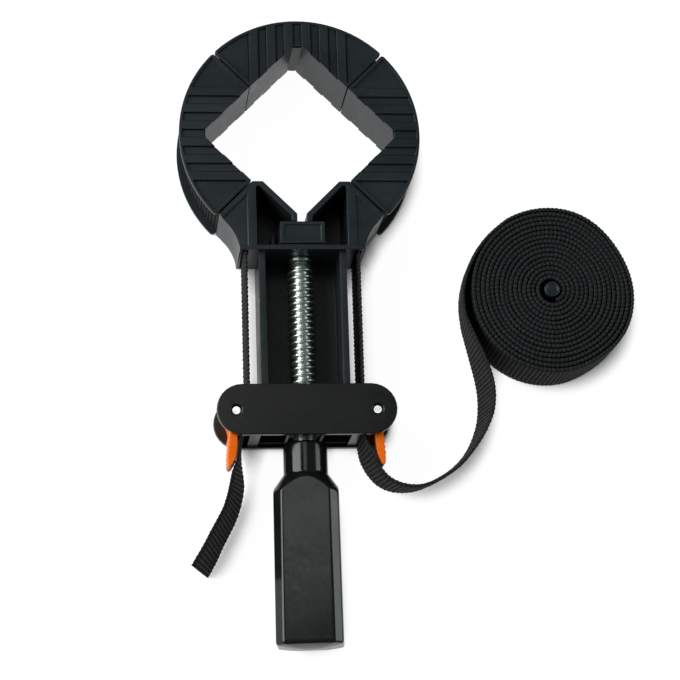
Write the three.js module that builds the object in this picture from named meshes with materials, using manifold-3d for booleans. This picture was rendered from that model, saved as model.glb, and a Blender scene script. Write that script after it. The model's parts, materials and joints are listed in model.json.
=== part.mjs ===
// Screw-tightened band clamp with four corner jaws, quick-release cam levers and a spare coil of webbing.
// Millimetres. The clamp lies on its back: +Z is up out of the front face, +Y runs from the handle to the jaws,
// and the webbing that is not in use leaves on the +X side. Origin: centre of the clamp's footprint, on the surface
// it rests on.
import * as THREE from 'three';
import { mergeVertices } from 'three/addons/utils/BufferGeometryUtils.js';
import Module from 'manifold-3d';

const wasm = await Module();
wasm.setup();

// ---------------------------------------------------------------- driving dimensions
const ZM = 14.8;               // height of the middle plane of the clamp above the rest surface
const RING_Y = 79.0;           // Y of the centre of the jaw ring
const RING_R = 49.0;           // outer radius of the jaw ring
const DIAMOND = 20.0;          // half side of the 90 degree opening, measured to the joints
const CORNER_Y = 38.2;         // flat at the bottom of each 90 degree corner
const BASE_H = 13.7;           // half thickness of a jaw at its panels
const RIB_H = 14.6;            // half thickness of a jaw at its raised ribs
const SLAT = 3.61;             // width of one rib or one groove
const JOINT_GAP = 0.50;        // slit between two neighbouring corner pieces
const WEB_W = 25.0;            // webbing width
const WEB_T = 1.3;             // webbing thickness
const WEB_R = 45.7;            // radius of the middle of the webbing round the ring
const CHANNEL_H = 12.8;        // half width of the webbing channel
const CHANNEL_R = 44.7;        // floor of the webbing channel

const HEAD_H = 14.2;           // half thickness of the head
const HEAD_V = 35.6;           // |X|+|Y| of the fixed V faces
const HEAD_FLAT_Y = -20.1;     // flat tips beside the V
const HEAD_WALL = 2.2;         // V wall thickness
const HEAD_BOTTOM = -48.8;     // underside of the head
const RUN_X = 22.75;           // middle of the straight webbing runs
const BEND_R = 22.0;           // radius of the webbing inside the head
const TUB_X = 17.7;            // outside of the screw channel
const TUB_WALL = 2.7;
const TUB_Z0 = 3.3, TUB_Z1 = 26.2;
const TUB_END = -122.8;        // free end of the screw channel

const SCREW_R = 5.3, SCREW_ROOT = 4.05, SCREW_PITCH = 2.7;
const SCREW_TOP = -52.2, SCREW_BOTTOM = -118.0;

const PLATE_L = 71.3, PLATE_W = 20.4, PLATE_T = 2.9, PLATE_Y = -114.2;
const PIN_X = 27.9, PIN_Y = -114.4, PIN_R = 1.95;
const LEVER_Z0 = 3.3, LEVER_Z1 = 26.3;

const NECK_R = 8.8;
const GRIP_SIDE = [12.85, 13.15], GRIP_FACE = [10.3, 10.6], GRIP_SUM = [19.75, 20.6];   // half width, half thickness, chamfer: at the neck and at the end
const HANDLE_TOP = -125.4, HANDLE_END = -207.0, CONE_Y = -137.8, CONE_SLOPE = 0.7;
const HANDLE_TURN = 7;         // degrees about the screw

const COIL_X = 101.1, COIL_Y = -64.6, COIL_R = 33.0, COIL_HOLE = 4.2;

// ---------------------------------------------------------------- helpers
const D = Math.PI / 180;

function solid(geometry) {
  const g = geometry.clone();
  for (const name of Object.keys(g.attributes)) if (name !== 'position') g.deleteAttribute(name);
  const m = mergeVertices(g, 1e-4);
  const mesh = new wasm.Mesh({
    numProp: 3,
    vertProperties: new Float32Array(m.attributes.position.array),
    triVerts: new Uint32Array(m.index.array),
  });
  return new wasm.Manifold(mesh);
}

function geometryOf(manifold) {
  const m = manifold.getMesh();
  const g = new THREE.BufferGeometry();
  const p = new Float32Array((m.vertProperties.length / m.numProp) * 3);
  for (let i = 0; i < p.length / 3; i++) for (let k = 0; k < 3; k++) p[i * 3 + k] = m.vertProperties[i * m.numProp + k];
  g.setAttribute('position', new THREE.BufferAttribute(p, 3));
  g.setIndex(Array.from(m.triVerts));
  g.computeVertexNormals();
  return g;
}

function prismGeometry(points, z0, z1) {
  const pts = THREE.ShapeUtils.isClockWise(points.map(([x, y]) => new THREE.Vector2(x, y))) ? [...points].reverse() : points;
  const shape = new THREE.Shape(pts.map(([x, y]) => new THREE.Vector2(x, y)));
  const g = new THREE.ExtrudeGeometry(shape, { depth: z1 - z0, bevelEnabled: false, steps: 1 });
  g.translate(0, 0, z0);
  return g;
}
const prism = (points, z0, z1) => solid(prismGeometry(points, z0, z1));

function box(x0, x1, y0, y1, z0, z1) {
  const g = new THREE.BoxGeometry(x1 - x0, y1 - y0, z1 - z0);
  g.translate((x0 + x1) / 2, (y0 + y1) / 2, (z0 + z1) / 2);
  return solid(g);
}

function cylinderGeometry(r, y0, y1, seg = 32) {   // along Y, about the screw axis
  const g = new THREE.CylinderGeometry(r, r, y1 - y0, seg);
  g.translate(0, (y0 + y1) / 2, 0);
  return g;
}
const axisCylinder = (r, y0, y1, seg = 32) => solid(cylinderGeometry(r, y0, y1, seg)).translate([0, 0, ZM]);

function pinCylinder(r, x, y, z0, z1, seg = 24) {
  const g = new THREE.CylinderGeometry(r, r, z1 - z0, seg);
  g.rotateX(Math.PI / 2);
  g.translate(x, y, (z0 + z1) / 2);
  return solid(g);
}

function lathe(profile, seg = 32) {                // profile of [r, y]
  const g = new THREE.LatheGeometry(profile.map(([r, y]) => new THREE.Vector2(r, y)), seg);
  return g;
}

const arc = (r, a0, a1, n, cx = 0, cy = 0) =>
  Array.from({ length: n + 1 }, (_, i) => {
    const a = (a0 + ((a1 - a0) * i) / n) * D;
    return [cx + r * Math.cos(a), cy + r * Math.sin(a)];
  });

const sector = (r0, r1, a0, a1, n) => [...arc(r1, a0, a1, n), ...arc(r0, a1, a0, n)];

// the outline of a strip of the given thickness along a flat path
function strip(path, t0, t1) {
  const left = [], right = [];
  path.forEach(([x, y], i) => {
    const a = path[Math.max(i - 1, 0)], b = path[Math.min(i + 1, path.length - 1)];
    let dx = b[0] - a[0], dy = b[1] - a[1];
    const l = Math.hypot(dx, dy);
    dx /= l; dy /= l;
    left.push([x - dy * t1, y + dx * t1]);
    right.push([x - dy * t0, y + dx * t0]);
  });
  return [...left, ...right.reverse()];
}

function smooth(points, n) {
  const c = new THREE.CatmullRomCurve3(points.map(([x, y]) => new THREE.Vector3(x, y, 0)), false, 'centripetal');
  return c.getSpacedPoints(n).map((p) => [p.x, p.y]);
}

const MAT = {
  black: { color: 0x24282b, roughness: 0.5, metalness: 0.0 },
  gloss: { color: 0x151617, roughness: 0.22, metalness: 0.0 },
  plate: { color: 0x2a2b2c, roughness: 0.3, metalness: 0.0 },
  steel: { color: 0xc3cbc6, roughness: 0.25, metalness: 1.0 },
  dark_steel: { color: 0x6f7371, roughness: 0.35, metalness: 1.0 },
  orange: { color: 0xf2641e, roughness: 0.45, metalness: 0.0 },
  webbing: { color: 0x17181a, roughness: 0.85, metalness: 0.0 },
};
const material = (name) => new THREE.MeshStandardMaterial(MAT[name]);

const root = new THREE.Group();
function add(name, thing, look, parent = clamp) {
  const geometry = thing.getMesh ? geometryOf(thing) : thing;
  const mesh = new THREE.Mesh(geometry, material(look));
  mesh.name = name;
  parent.add(mesh);
  return mesh;
}

// everything of the clamp is drawn about the centre of the jaw ring
const clamp = new THREE.Group();
clamp.position.set(0, RING_Y, 0);
root.add(clamp);

// ---------------------------------------------------------------- corner jaws
// A jaw is drawn as the top one: its 90 degree corner opens towards -Y.
function jaw() {
  const g = JOINT_GAP / 2 * Math.SQRT2;                 // slit half width along Y
  const inner = [[-1.8, CORNER_Y], [1.8, CORNER_Y]];
  const jx = (2 * DIAMOND - g) / 2, jy = (2 * DIAMOND + g) / 2;
  const outerAngle = Math.asin((JOINT_GAP / 2) / RING_R) / D;
  const rc = 1.3;                                       // rounded outer corner
  const ca = 45 + outerAngle + Math.asin((rc) / (RING_R - rc)) / D;
  const cx = (RING_R - rc) * Math.cos(ca * D), cy = (RING_R - rc) * Math.sin(ca * D);
  const corner = arc(rc, -45, ca, 5, cx, cy);           // from the joint face round to the arc
  const right = [[jx, jy], ...corner, ...arc(RING_R, ca, 90, 14).slice(1)];
  const left = right.slice(0, -1).map(([x, y]) => [-x, y]).reverse();
  const outline = [...right, ...left, inner[0], inner[1]];
  let body = prism(outline, -BASE_H, BASE_H);
  // webbing channel round the outside
  body = body.subtract(prism(sector(CHANNEL_R, RING_R + 3, 38, 142, 34), -CHANNEL_H, CHANNEL_H));
  // raised ribs, rim and joint lips on both faces
  let raised = prism(sector(RING_R - 1.15, RING_R + 1, 40, 140, 34), -RIB_H, RIB_H);
  for (const k of [-5, -3, -1, 1, 3, 5]) {
    const x = k * SLAT;
    raised = raised.add(box(x - SLAT / 2, x + SLAT / 2, 15, 60, -RIB_H, RIB_H));
  }
  const lip = 1.3 * Math.SQRT2;
  for (const s of [-1, 1]) raised = raised.add(prism([[s * 15, 15 - 1], [s * 45, 45 - 1], [s * 45, 45 + lip + g], [s * 15, 15 + lip + g]], -RIB_H, RIB_H));
  const skin = raised.intersect(prism(outline, -RIB_H, RIB_H)).subtract(box(-60, 60, 0, 60, -BASE_H + 0.2, BASE_H - 0.2));
  body = body.add(skin);
  // narrow grooves at the feet of the raised ribs, inside the rim
  let grooves = null;
  for (const k of [-5, -3, -1, 1, 3, 5]) for (const e of [-1, 1]) {
    const x = k * SLAT + e * (SLAT / 2 + 0.19);
    const g1 = box(x - 0.19, x + 0.19, 15, 60, BASE_H - 0.45, BASE_H + 0.01);
    grooves = grooves ? grooves.add(g1) : g1;
  }
  grooves = grooves.add(grooves.mirror([0, 0, 1])).intersect(prism(sector(20, RING_R - 1.15, 40, 140, 34), -RIB_H, RIB_H));
  body = body.subtract(grooves);
  // relief groove beside the corner flat
  body = body.subtract(box(-1.8, 1.8, CORNER_Y - 1, CORNER_Y + 0.55, BASE_H - 1.6, RIB_H + 1));
  return body;
}
const jawSolid = jaw().translate([0, 0, ZM]);
add('top_jaw', jawSolid, 'black');
add('left_jaw', jawSolid.rotate([0, 0, 90]), 'black');
add('right_jaw', jawSolid.rotate([0, 0, -90]), 'black');

// ---------------------------------------------------------------- webbing round the jaws
const webZ0 = ZM - WEB_W / 2, webZ1 = ZM + WEB_W / 2;
const webArc = (a0, a1, n) => prism(sector(WEB_R - WEB_T / 2, WEB_R + WEB_T / 2, a0, a1, n), webZ0, webZ1);
const gapDeg = 0.25;
add('webbing_left_jaw', webArc(135 + gapDeg, 225 - 0.5, 26), 'webbing');
add('webbing_top_left', webArc(90 + gapDeg, 135 - gapDeg, 13), 'webbing');
add('webbing_top_right', webArc(45 + gapDeg, 90 - gapDeg, 13), 'webbing');
add('webbing_right_jaw', webArc(-45 + 0.5, 45 - gapDeg, 26), 'webbing');

// ---------------------------------------------------------------- webbing path inside the head
const bendX = RUN_X + BEND_R;                                    // centre of the bend
const start = WEB_R / Math.SQRT2;
const lead = (start - RUN_X - BEND_R * (1 - Math.SQRT1_2)) / Math.SQRT1_2;
const bendY = -start - lead * Math.SQRT1_2 - BEND_R * Math.SQRT1_2;
const bendPath = (from, below, n = 10) => [                      // right side, from the ring down
  [start + from * Math.SQRT1_2, -start + from * Math.SQRT1_2],
  [start - lead * Math.SQRT1_2, -start - lead * Math.SQRT1_2],
  ...arc(BEND_R, 135, 180, n, bendX, bendY).slice(1),
  [RUN_X, bendY - below],
];
const mirror = (points) => points.map(([x, y]) => [-x, y]);

// ---------------------------------------------------------------- fixed head with V and the screw channel, one moulding
function body() {
  const z0 = ZM - HEAD_H, z1 = ZM + HEAD_H;
  const g = JOINT_GAP / 2 * Math.SQRT2;
  const wallR = BEND_R - WEB_T / 2 - 0.35 - 1.3;                 // outside of the guide wall
  const t = (HEAD_V + HEAD_FLAT_Y);                              // |X| where the V starts
  const tip = -HEAD_FLAT_Y + g;                                  // |X| at the joint face
  const rOut = 47.6 / Math.SQRT2;
  const right = [
    [1.9, -HEAD_V + 1.9], [t, HEAD_FLAT_Y], [tip - 2 * g, HEAD_FLAT_Y],
    [rOut - g, -rOut - g],
    ...arc(wallR, 135, 174, 10, bendX, bendY),
    [bendX - wallR - 0.0, HEAD_BOTTOM],
  ];
  const outline = [...right, ...mirror(right).reverse()];
  let head = prism([...right.slice(0), [0, HEAD_BOTTOM], [0, -37.1], [1.9, -37.1]], z0, z1)
    .add(prism(mirror([...right.slice(0), [0, HEAD_BOTTOM], [0, -37.1], [1.9, -37.1]]), z0, z1));
  // webbing passages
  for (const s of [1, -1]) {
    const path = s > 0 ? bendPath(6, 6) : mirror(bendPath(6, 6));
    head = head.subtract(prism(strip(path, -WEB_T / 2 - 0.35, WEB_T / 2 + 0.35), ZM - CHANNEL_H, ZM + CHANNEL_H));
  }
  // deep pockets behind the V walls, between them and the vertical ribs
  const w = HEAD_WALL * Math.SQRT2;
  for (const s of [1, -1]) {
    const pocket = [[4.1, -HEAD_V - w + 4.1], [16.0, -HEAD_V - w + 16.0], [16.7, -22.15], [17.4, -21.85], [18.0, -22.15], [18.3, -22.8],
      [18.3, HEAD_BOTTOM + 2.0], [11.2, HEAD_BOTTOM + 2.0], [11.2, -37.4], [4.1, -37.4]];
    head = head.subtract(prism(s > 0 ? pocket : mirror(pocket), z0 + 2.0, z1 + 1));
    // recessed three-sided panel on the ear, front and back
    const panel = [[21.9, -25.6], [31.9, -35.6], [38.0, -41.7], [38.0, -47.1], [21.9, -47.1]];
    for (const [a, b] of [[z1 - 0.7, z1 + 1], [z0 - 1, z0 + 0.7]]) head = head.subtract(prism(s > 0 ? panel : mirror(panel), a, b));
  }
  // seat of the end bearing block, open to the front
  head = head.subtract(box(-9.3, 9.3, -60, -36.9, ZM - 9.3, z1 + 2).intersect(box(-9.3, 9.3, HEAD_BOTTOM + 2.2, -30, 0, 60)));
  // the walls of that seat stop short of the front, so that the block stands between the pockets
  for (const s of [1, -1]) head = head.subtract(box(s > 0 ? 9.0 : -11.3, s > 0 ? 11.3 : -9.0, HEAD_BOTTOM + 2.0, -37.4, ZM - 4.0, z1 + 1));
  // screw channel
  let tub = box(-TUB_X, TUB_X, TUB_END, HEAD_BOTTOM + 1, TUB_Z0, TUB_Z1)
    .subtract(box(-TUB_X + TUB_WALL, TUB_X - TUB_WALL, TUB_END - 1, HEAD_BOTTOM, TUB_Z0 + 2.0, TUB_Z1 + 1));
  // at the free end the side walls stop short; the floor, the rims and a bar across the front run on
  tub = tub.subtract(box(-TUB_X - 1, TUB_X + 1, TUB_END - 1, TUB_END + 4.3, TUB_Z0 + 2.0, TUB_Z1 - 2.0));
  tub = tub.add(box(-TUB_X, TUB_X, TUB_END, TUB_END + 1.6, TUB_Z1 - 2.0, TUB_Z1));
  // web that guides the shank there, and the two thin walls that hold it
  tub = tub.add(box(-7.5, 7.5, TUB_END + 1.6, TUB_END + 4.0, TUB_Z0 + 1, TUB_Z1));
  for (const s of [1, -1]) tub = tub.add(box(s > 0 ? 6.3 : -7.5, s > 0 ? 7.5 : -6.3, TUB_END, TUB_END + 2.0, TUB_Z0 + 1, TUB_Z1 - 1.0));
  let all = head.add(tub);
  all = all.subtract(axisCylinder(3.7, HEAD_BOTTOM - 1, -44.0));
  all = all.subtract(axisCylinder(5.0, TUB_END - 1, TUB_END + 5));
  return all;
}
add('clamp_body', body(), 'black');

// block that carries the upper end of the screw, set into the head from the front
let bearing = box(-9.0, 9.0, HEAD_BOTTOM + 2.5, -37.2, ZM - 9.0, ZM + 14.7);
bearing = bearing.subtract(axisCylinder(3.6, -60, -40.0));
bearing = bearing.subtract(box(-7.4, 7.4, HEAD_BOTTOM + 3.9, -38.6, ZM + 14.1, 60));
add('screw_bearing_block', bearing, 'black');

for (const s of [1, -1]) {
  const path = bendPath(-0.45, 0.3);
  add(s > 0 ? 'webbing_head_right' : 'webbing_head_left',
    prism(strip(s > 0 ? path : mirror(path), -WEB_T / 2, WEB_T / 2), webZ0, webZ1), 'webbing');
}

// ---------------------------------------------------------------- screw with a helical thread, shank and end journal
function screwGeometry() {
  const seg = 14, half = SCREW_PITCH / 2;
  const turns = (SCREW_TOP - SCREW_BOTTOM) / SCREW_PITCH;
  const rows = [];                                     // each row is one ring of points, from the top end down
  const ring = (r, y) => Array.from({ length: seg }, (_, i) => {
    const a = (i / seg) * 2 * Math.PI;
    return [typeof r === 'function' ? r(a, y) : r, typeof y === 'number' ? y : y, a];
  });
  const depth = (a, y) => {                            // thread profile along the axis, at this angle
    let u = ((y / SCREW_PITCH + a / (2 * Math.PI)) % 1 + 1) % 1;
    u = Math.abs(u - 0.5) * 2;                         // 0 at the crest, 1 at the root
    const edge = Math.min((SCREW_TOP - y) / 2.0, (y - SCREW_BOTTOM) / 2.0, 1);
    const k = Math.max(0, Math.min(1, (u - 0.12) / 0.62));
    return SCREW_ROOT + (SCREW_R - SCREW_ROOT) * (1 - k) * Math.max(0, edge);
  };
  rows.push(ring(3.2, -41.2), ring(3.2, -50.9), ring(SCREW_ROOT, -51.5));
  const n = Math.round(turns * 5);
  for (let i = 0; i <= n; i++) {
    const y = SCREW_TOP - ((SCREW_TOP - SCREW_BOTTOM) * i) / n;
    rows.push(ring(depth, y));
  }
  rows.push(ring(4.4, SCREW_BOTTOM - 0.8), ring(4.4, -145));
  const pos = [], idx = [];
  rows.forEach((row) => row.forEach(([r, y, a]) => pos.push(r * Math.sin(a), y, r * Math.cos(a))));
  const top = pos.length / 3; pos.push(0, rows[0][0][1], 0);
  const bottom = top + 1; pos.push(0, rows[rows.length - 1][0][1], 0);
  for (let i = 0; i + 1 < rows.length; i++) for (let j = 0; j < seg; j++) {
    const a = i * seg + j, b = i * seg + ((j + 1) % seg), c = a + seg, d = b + seg;
    idx.push(a, c, b, b, c, d);
  }
  const last = (rows.length - 1) * seg;
  for (let j = 0; j < seg; j++) {
    idx.push(top, j, (j + 1) % seg);
    idx.push(bottom, last + ((j + 1) % seg), last + j);
  }
  const g = new THREE.BufferGeometry();
  g.setAttribute('position', new THREE.Float32BufferAttribute(pos, 3));
  g.setIndex(idx);
  g.computeVertexNormals();
  return g;
}
const spindle = new THREE.Group();                     // turns about the screw axis
spindle.position.set(0, 0, ZM);
clamp.add(spindle);
add('screw', screwGeometry(), 'steel', spindle);
// thrust washer between the thread's shoulder and the head
add('thrust_washer', lathe([[3.5, -50.3], [4.9, -50.3], [4.9, -49.2], [3.5, -49.2], [3.5, -50.3]], 24), 'steel', spindle);

// ---------------------------------------------------------------- handle
function handleGeometry() {
  const n = 48, turn = HANDLE_TURN * D;
  const along = ([p, q], y) => p + (q - p) * Math.min(1, Math.max(0, (CONE_Y - y) / (CONE_Y - HANDLE_END)));
  const section = (a, y) => {                          // flattened, chamfered grip; a from the front facet
    const c = Math.abs(Math.cos(a)), d = Math.abs(Math.sin(a));
    return Math.min(along(GRIP_FACE, y) / Math.max(c, 1e-6), along(GRIP_SIDE, y) / Math.max(d, 1e-6), along(GRIP_SUM, y) / (c + d));
  };
  const rev = (y) => (y > CONE_Y ? NECK_R : Math.min(30, NECK_R + (CONE_Y - y) * CONE_SLOPE));
  const cut = (y) => (y < HANDLE_END + 1.6 ? 1 - 0.07 * (1 - (y - HANDLE_END) / 1.6) : 1);
  const ys = [HANDLE_TOP - 0.9, -130, -134, CONE_Y, -138.9, -139.9, -140.9, -141.9, -142.9, -143.9, -144.9, -146.2, -165, -185, HANDLE_END + 1.6, HANDLE_END + 0.5, HANDLE_END];
  const rows = [Array.from({ length: n }, () => NECK_R - 0.8)];
  const yy = [HANDLE_TOP];
  for (const y of ys) {
    rows.push(Array.from({ length: n }, (_, j) => Math.min(rev(y), section((j / n) * 2 * Math.PI, y)) * cut(y)));
    yy.push(y);
  }
  const pos = [], idx = [];
  rows.forEach((row, i) => row.forEach((r, j) => {
    const a = (j / n) * 2 * Math.PI + turn;
    pos.push(-r * Math.sin(a), yy[i], r * Math.cos(a));
  }));
  const top = pos.length / 3; pos.push(0, yy[0], 0);
  const bottom = top + 1; pos.push(0, yy[yy.length - 1], 0);
  for (let i = 0; i + 1 < rows.length; i++) for (let j = 0; j < n; j++) {
    const a = i * n + j, b = i * n + ((j + 1) % n), c = a + n, d = b + n;
    idx.push(a, b, c, b, d, c);
  }
  const last = (rows.length - 1) * n;
  for (let j = 0; j < n; j++) {
    idx.push(top, (j + 1) % n, j);
    idx.push(bottom, last + j, last + ((j + 1) % n));
  }
  const g = new THREE.BufferGeometry();
  g.setAttribute('position', new THREE.Float32BufferAttribute(pos, 3));
  g.setIndex(idx);
  g.computeVertexNormals();
  return g;
}
let handle = solid(handleGeometry());
handle = handle.subtract(solid(cylinderGeometry(4.75, -146.0, -120, 32)));   // socket of the screw's shank
add('handle', handle, 'gloss', spindle);

// ---------------------------------------------------------------- carriage: two plates, strap anvils, nut and its housing
const plateOutline = () => {
  const r = PLATE_W / 2, c = PLATE_L / 2 - r;
  return [...arc(r, -90, 90, 14, c, PLATE_Y), ...arc(r, 90, 270, 14, -c, PLATE_Y)];
};
let front = prism(plateOutline(), 2 * ZM - PLATE_T, 2 * ZM);
let back = prism(plateOutline(), 0, PLATE_T);
// strap anvils, moulded on the back plate
for (const s of [1, -1]) {
  const x0 = s > 0 ? TUB_X + 0.35 : -RUN_X + WEB_T / 2 + 0.3, x1 = s > 0 ? RUN_X - WEB_T / 2 - 0.3 : -TUB_X - 0.35;
  // the left one widens towards its free end, where the short tail leaves it at a slant
  const y0 = PLATE_Y - 9.4, y1 = PLATE_Y + 8.6, z = LEVER_Z1 + 0.1;
  back = back.add(s > 0 ? box(x0, x1, y0, y1, 1, z) : prism([[x0, y1], [x0, -118.4], [x0 - 0.6, y0], [x1, y0], [x1, y1]], 1, z));
}
for (const s of [1, -1]) {
  front = front.subtract(pinCylinder(PIN_R + 0.25, s * PIN_X, PIN_Y, 20, 40));
  back = back.subtract(pinCylinder(PIN_R + 0.25, s * PIN_X, PIN_Y, -5, 10));
}
add('carriage_front_plate', front, 'plate');
add('carriage_back_plate', back, 'plate');

let housing = box(-TUB_X + TUB_WALL + 0.5, TUB_X - TUB_WALL - 0.5, -117.6, -105.6, TUB_Z0 + 3.4, 26.3);
housing = housing.subtract(box(-8.1, 8.1, -115.6, -107.4, 6.0 + 1.2, 40));
housing = housing.subtract(axisCylinder(SCREW_R + 0.35, -130, -100));
add('nut_housing', housing, 'black');
let nut = box(-7.8, 7.8, -115.3, -107.7, ZM - 7.3, ZM + 7.3).subtract(axisCylinder(SCREW_R + 0.35, -130, -100));
add('drive_nut', nut, 'dark_steel');

for (const s of [1, -1]) {
  const name = s > 0 ? 'right' : 'left';
  const pin = lathe([[0, 1.3], [PIN_R - 0.4, 1.4], [PIN_R, 1.8], [PIN_R, 27.8], [PIN_R - 0.4, 28.15], [0, 28.3]], 24);
  pin.rotateX(Math.PI / 2);
  pin.translate(s * PIN_X, PIN_Y, 0);
  add(`${name}_lever_pin`, pin, 'steel');
}

// webbing gripped inside the carriage, and the straight runs up to the head
const runTop = bendY - 0.6, gripTop = PLATE_Y + PLATE_W / 2 + 0.2, gripEnd = PLATE_Y - 10.4;
for (const s of [1, -1]) {
  const x0 = s * RUN_X - WEB_T / 2, x1 = s * RUN_X + WEB_T / 2;
  const name = s > 0 ? 'right' : 'left';
  add(`webbing_run_${name}`, box(x0, x1, gripTop + 0.15, runTop, webZ0, webZ1), 'webbing');
  const g0 = 3.2, g1 = 26.4;                          // the selvedges fold in slightly between the plates
  const slant = [[-RUN_X, gripTop - 0.15], [-RUN_X, -113.2], [-22.9, -115.6], [-23.3, -117.6], [-24.0, -119.8], [-24.85, -122.2], [-25.7, gripEnd]];
  add(`webbing_grip_${name}`, s > 0 ? box(x0, x1, gripEnd, gripTop - 0.15, g0, g1) : prism(strip(slant, -WEB_T / 2, WEB_T / 2), g0, g1), 'webbing');
}

// ---------------------------------------------------------------- cam levers
// Drawn as the left one about its pin: +X is towards the webbing, the arm points to -Y.
function lever() {
  const cam = [];
  const r = (a) => {                                   // cam radius by angle from the webbing side
    if (a >= 0 && a <= 110) return 4.2 - 0.95 * Math.sin(Math.min(a, 90) * D);
    if (a > 110 && a < 250) return 3.25 + 1.1 * Math.sin((a - 110) / 140 * Math.PI / 2);
    if (a >= 250) return 4.35 - 0.15 * ((a - 250) / 110);
    return 4.2;
  };
  for (let a = 0; a < 360; a += 15) cam.push([r(a) * Math.cos(a * D), r(a) * Math.sin(a * D)]);
  let l = prism(cam, LEVER_Z0, LEVER_Z1);
  const outer = [[-3.6, -0.6], [-2.7, -3.4], [-2.25, -5.4]];
  for (let i = 0; i < 5; i++) {                        // thumb ridges
    const y = -7.4 - i * 2.05, x = -1.95 - i * 0.17;
    outer.push([x, y], [x - 0.5, y - 0.55], [x - 0.55, y - 1.15], [x - 0.08, y - 1.7]);
  }
  const arm = [[2.6, 0], [1.4, -4.2], [0.7, -8.5], [0.15, -13], [-0.5, -17], [-1.2, -20.2], [-1.6, -21.1], [-2.2, -21.6], [-2.8, -21.3], [-3.15, -20.4], [-3.15, -18.4], ...outer.reverse()];
  l = l.add(prism(arm, LEVER_Z0, LEVER_Z1));
  // behind the thumb part the arm is cut away
  l = l.subtract(prism([[-9.0, 2], [-11.5, 11.6], [-24, 13.6], [-24, 2]], -8, 8).rotate([90, 0, 90]));
  return l.subtract(pinCylinder(PIN_R + 0.3, 0, 0, 0, 40));
}
const leverSolid = lever();
add('left_cam_lever', leverSolid.rotate([0, 0, -1.5]).translate([-PIN_X, PIN_Y, 0]), 'orange');
add('right_cam_lever', leverSolid.mirror([1, 0, 0]).rotate([0, 0, -1.0]).translate([PIN_X, PIN_Y, 0]), 'orange');

// ---------------------------------------------------------------- free webbing
// A standing ribbon: each row gives the middle of its lower edge, and how far its upper edge leans over.
function ribbon(rows, n) {
  const low = new THREE.CatmullRomCurve3(rows.map(([x, y, z]) => new THREE.Vector3(x, y, z)), false, 'catmullrom', 0.5);
  const high = new THREE.CatmullRomCurve3(rows.map(([x, y, z, u, v]) => new THREE.Vector3(x + u, y + v, z + Math.sqrt(WEB_W * WEB_W - u * u - v * v))), false, 'catmullrom', 0.5);
  const pos = [], idx = [];
  for (let i = 0; i <= n; i++) {
    const t = i / n, p = low.getPoint(t), q = high.getPoint(t);
    const across = q.clone().sub(p), along = low.getTangent(t).add(high.getTangent(t));
    const side = along.cross(across).normalize().multiplyScalar(WEB_T / 2);
    for (const [c, k] of [[p, 1], [q, 1], [q, -1], [p, -1]]) pos.push(c.x + k * side.x, c.y + k * side.y, c.z + k * side.z);
  }
  for (let i = 0; i < n; i++) for (let j = 0; j < 4; j++) {
    const a = i * 4 + j, b = i * 4 + ((j + 1) % 4), c = a + 4, d = b + 4;
    idx.push(a, c, b, b, c, d);
  }
  const e = n * 4;
  idx.push(0, 1, 2, 0, 2, 3, e, e + 2, e + 1, e, e + 3, e + 2);
  const g = new THREE.BufferGeometry();
  g.setAttribute('position', new THREE.Float32BufferAttribute(pos, 3));
  g.setIndex(idx);
  const m = solid(g);
  return m.volume() > 0 ? m : solid(flipped(g));
}
function flipped(g) {
  const out = g.clone(), i = Array.from(g.index.array);
  for (let k = 0; k < i.length; k += 3) [i[k], i[k + 1]] = [i[k + 1], i[k]];
  out.setIndex(i);
  return out;
}
// short tail on the left, its upper edge leaning outwards
const tail = ribbon([[-25.3, gripEnd - 0.5, 2.3, -1.2, 0], [-25.25, -128.4, 2.2, -1.8, -0.8], [-24.8, -132.2, 2.0, -3.3, -2.0], [-24.1, -136.1, 1.5, -5.6, -2.4], [-23.85, -140.2, 1.0, -6.6, -1.7],
  [-24.6, -145.2, 0.6, -6.6, -0.1], [-25.95, -150.0, 0.4, -6.1, 1.6], [-27.85, -154.8, 0.4, -5.6, 2.4], [-30.3, -159.6, 0.4, -5.4, 2.9], [-32.75, -164.3, 0.4, -5.7, 2.7], [-35.4, -170.0, 0.4, -6.0, 2.9], [-38.85, -176.1, 0.4, -7.1, 1.4]], 44);
add('webbing_tail', tail, 'webbing');
// free run on the right, standing on its edge, out to the coil
const wound = arc(COIL_R + 0.85, 176, 96, 12, COIL_X, COIL_Y).map(([x, y], i) => [x, y, 0.3, -2.6 * Math.max(0, 1 - i / 8) ** 2, 0]);
const freeRun = ribbon([[RUN_X, gripEnd - 0.4, 2.3, 0, 0], [23.15, -128.0, 2.2, 0.2, -0.4], [24.1, -131.2, 2.0, 0.6, -1.6], [26.6, -135.7, 1.7, 1.3, -1.9], [30.2, -139.5, 1.3, 1.6, -1.8], [34.6, -141.7, 0.9, 1.6, -1.9],
  [39.4, -142.4, 0.55, 1.4, -2.1], [44.6, -142.0, 0.4, 0.9, -2.3], [49.6, -140.3, 0.35, 0.8, -2.4], [54.9, -137.7, 0.35, 0.9, -2.0], [60.0, -134.5, 0.35, 0.9, -1.4], [64.4, -130.5, 0.35, 0.7, -0.7], [67.9, -125.7, 0.35, 1.0, -0.5],
  [70.5, -120.3, 0.35, 1.6, -0.5], [72.3, -114.7, 0.35, 2.2, -0.4], [73.1, -108.8, 0.35, 2.4, -0.1], [73.15, -102.9, 0.35, 2.1, 0.1], [72.4, -96.8, 0.35, 1.4, 0.2], [71.2, -90.9, 0.35, 0.5, 0], [69.9, -85.0, 0.35, -0.6, -0.2],
  [68.6, -79.0, 0.35, -1.7, -0.3], [67.6, -73.4, 0.35, -2.5, -0.3], [67.2, -67.9, 0.35, -2.7, 0], ...wound], 124);
add('webbing_free_run', freeRun, 'webbing');
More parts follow.
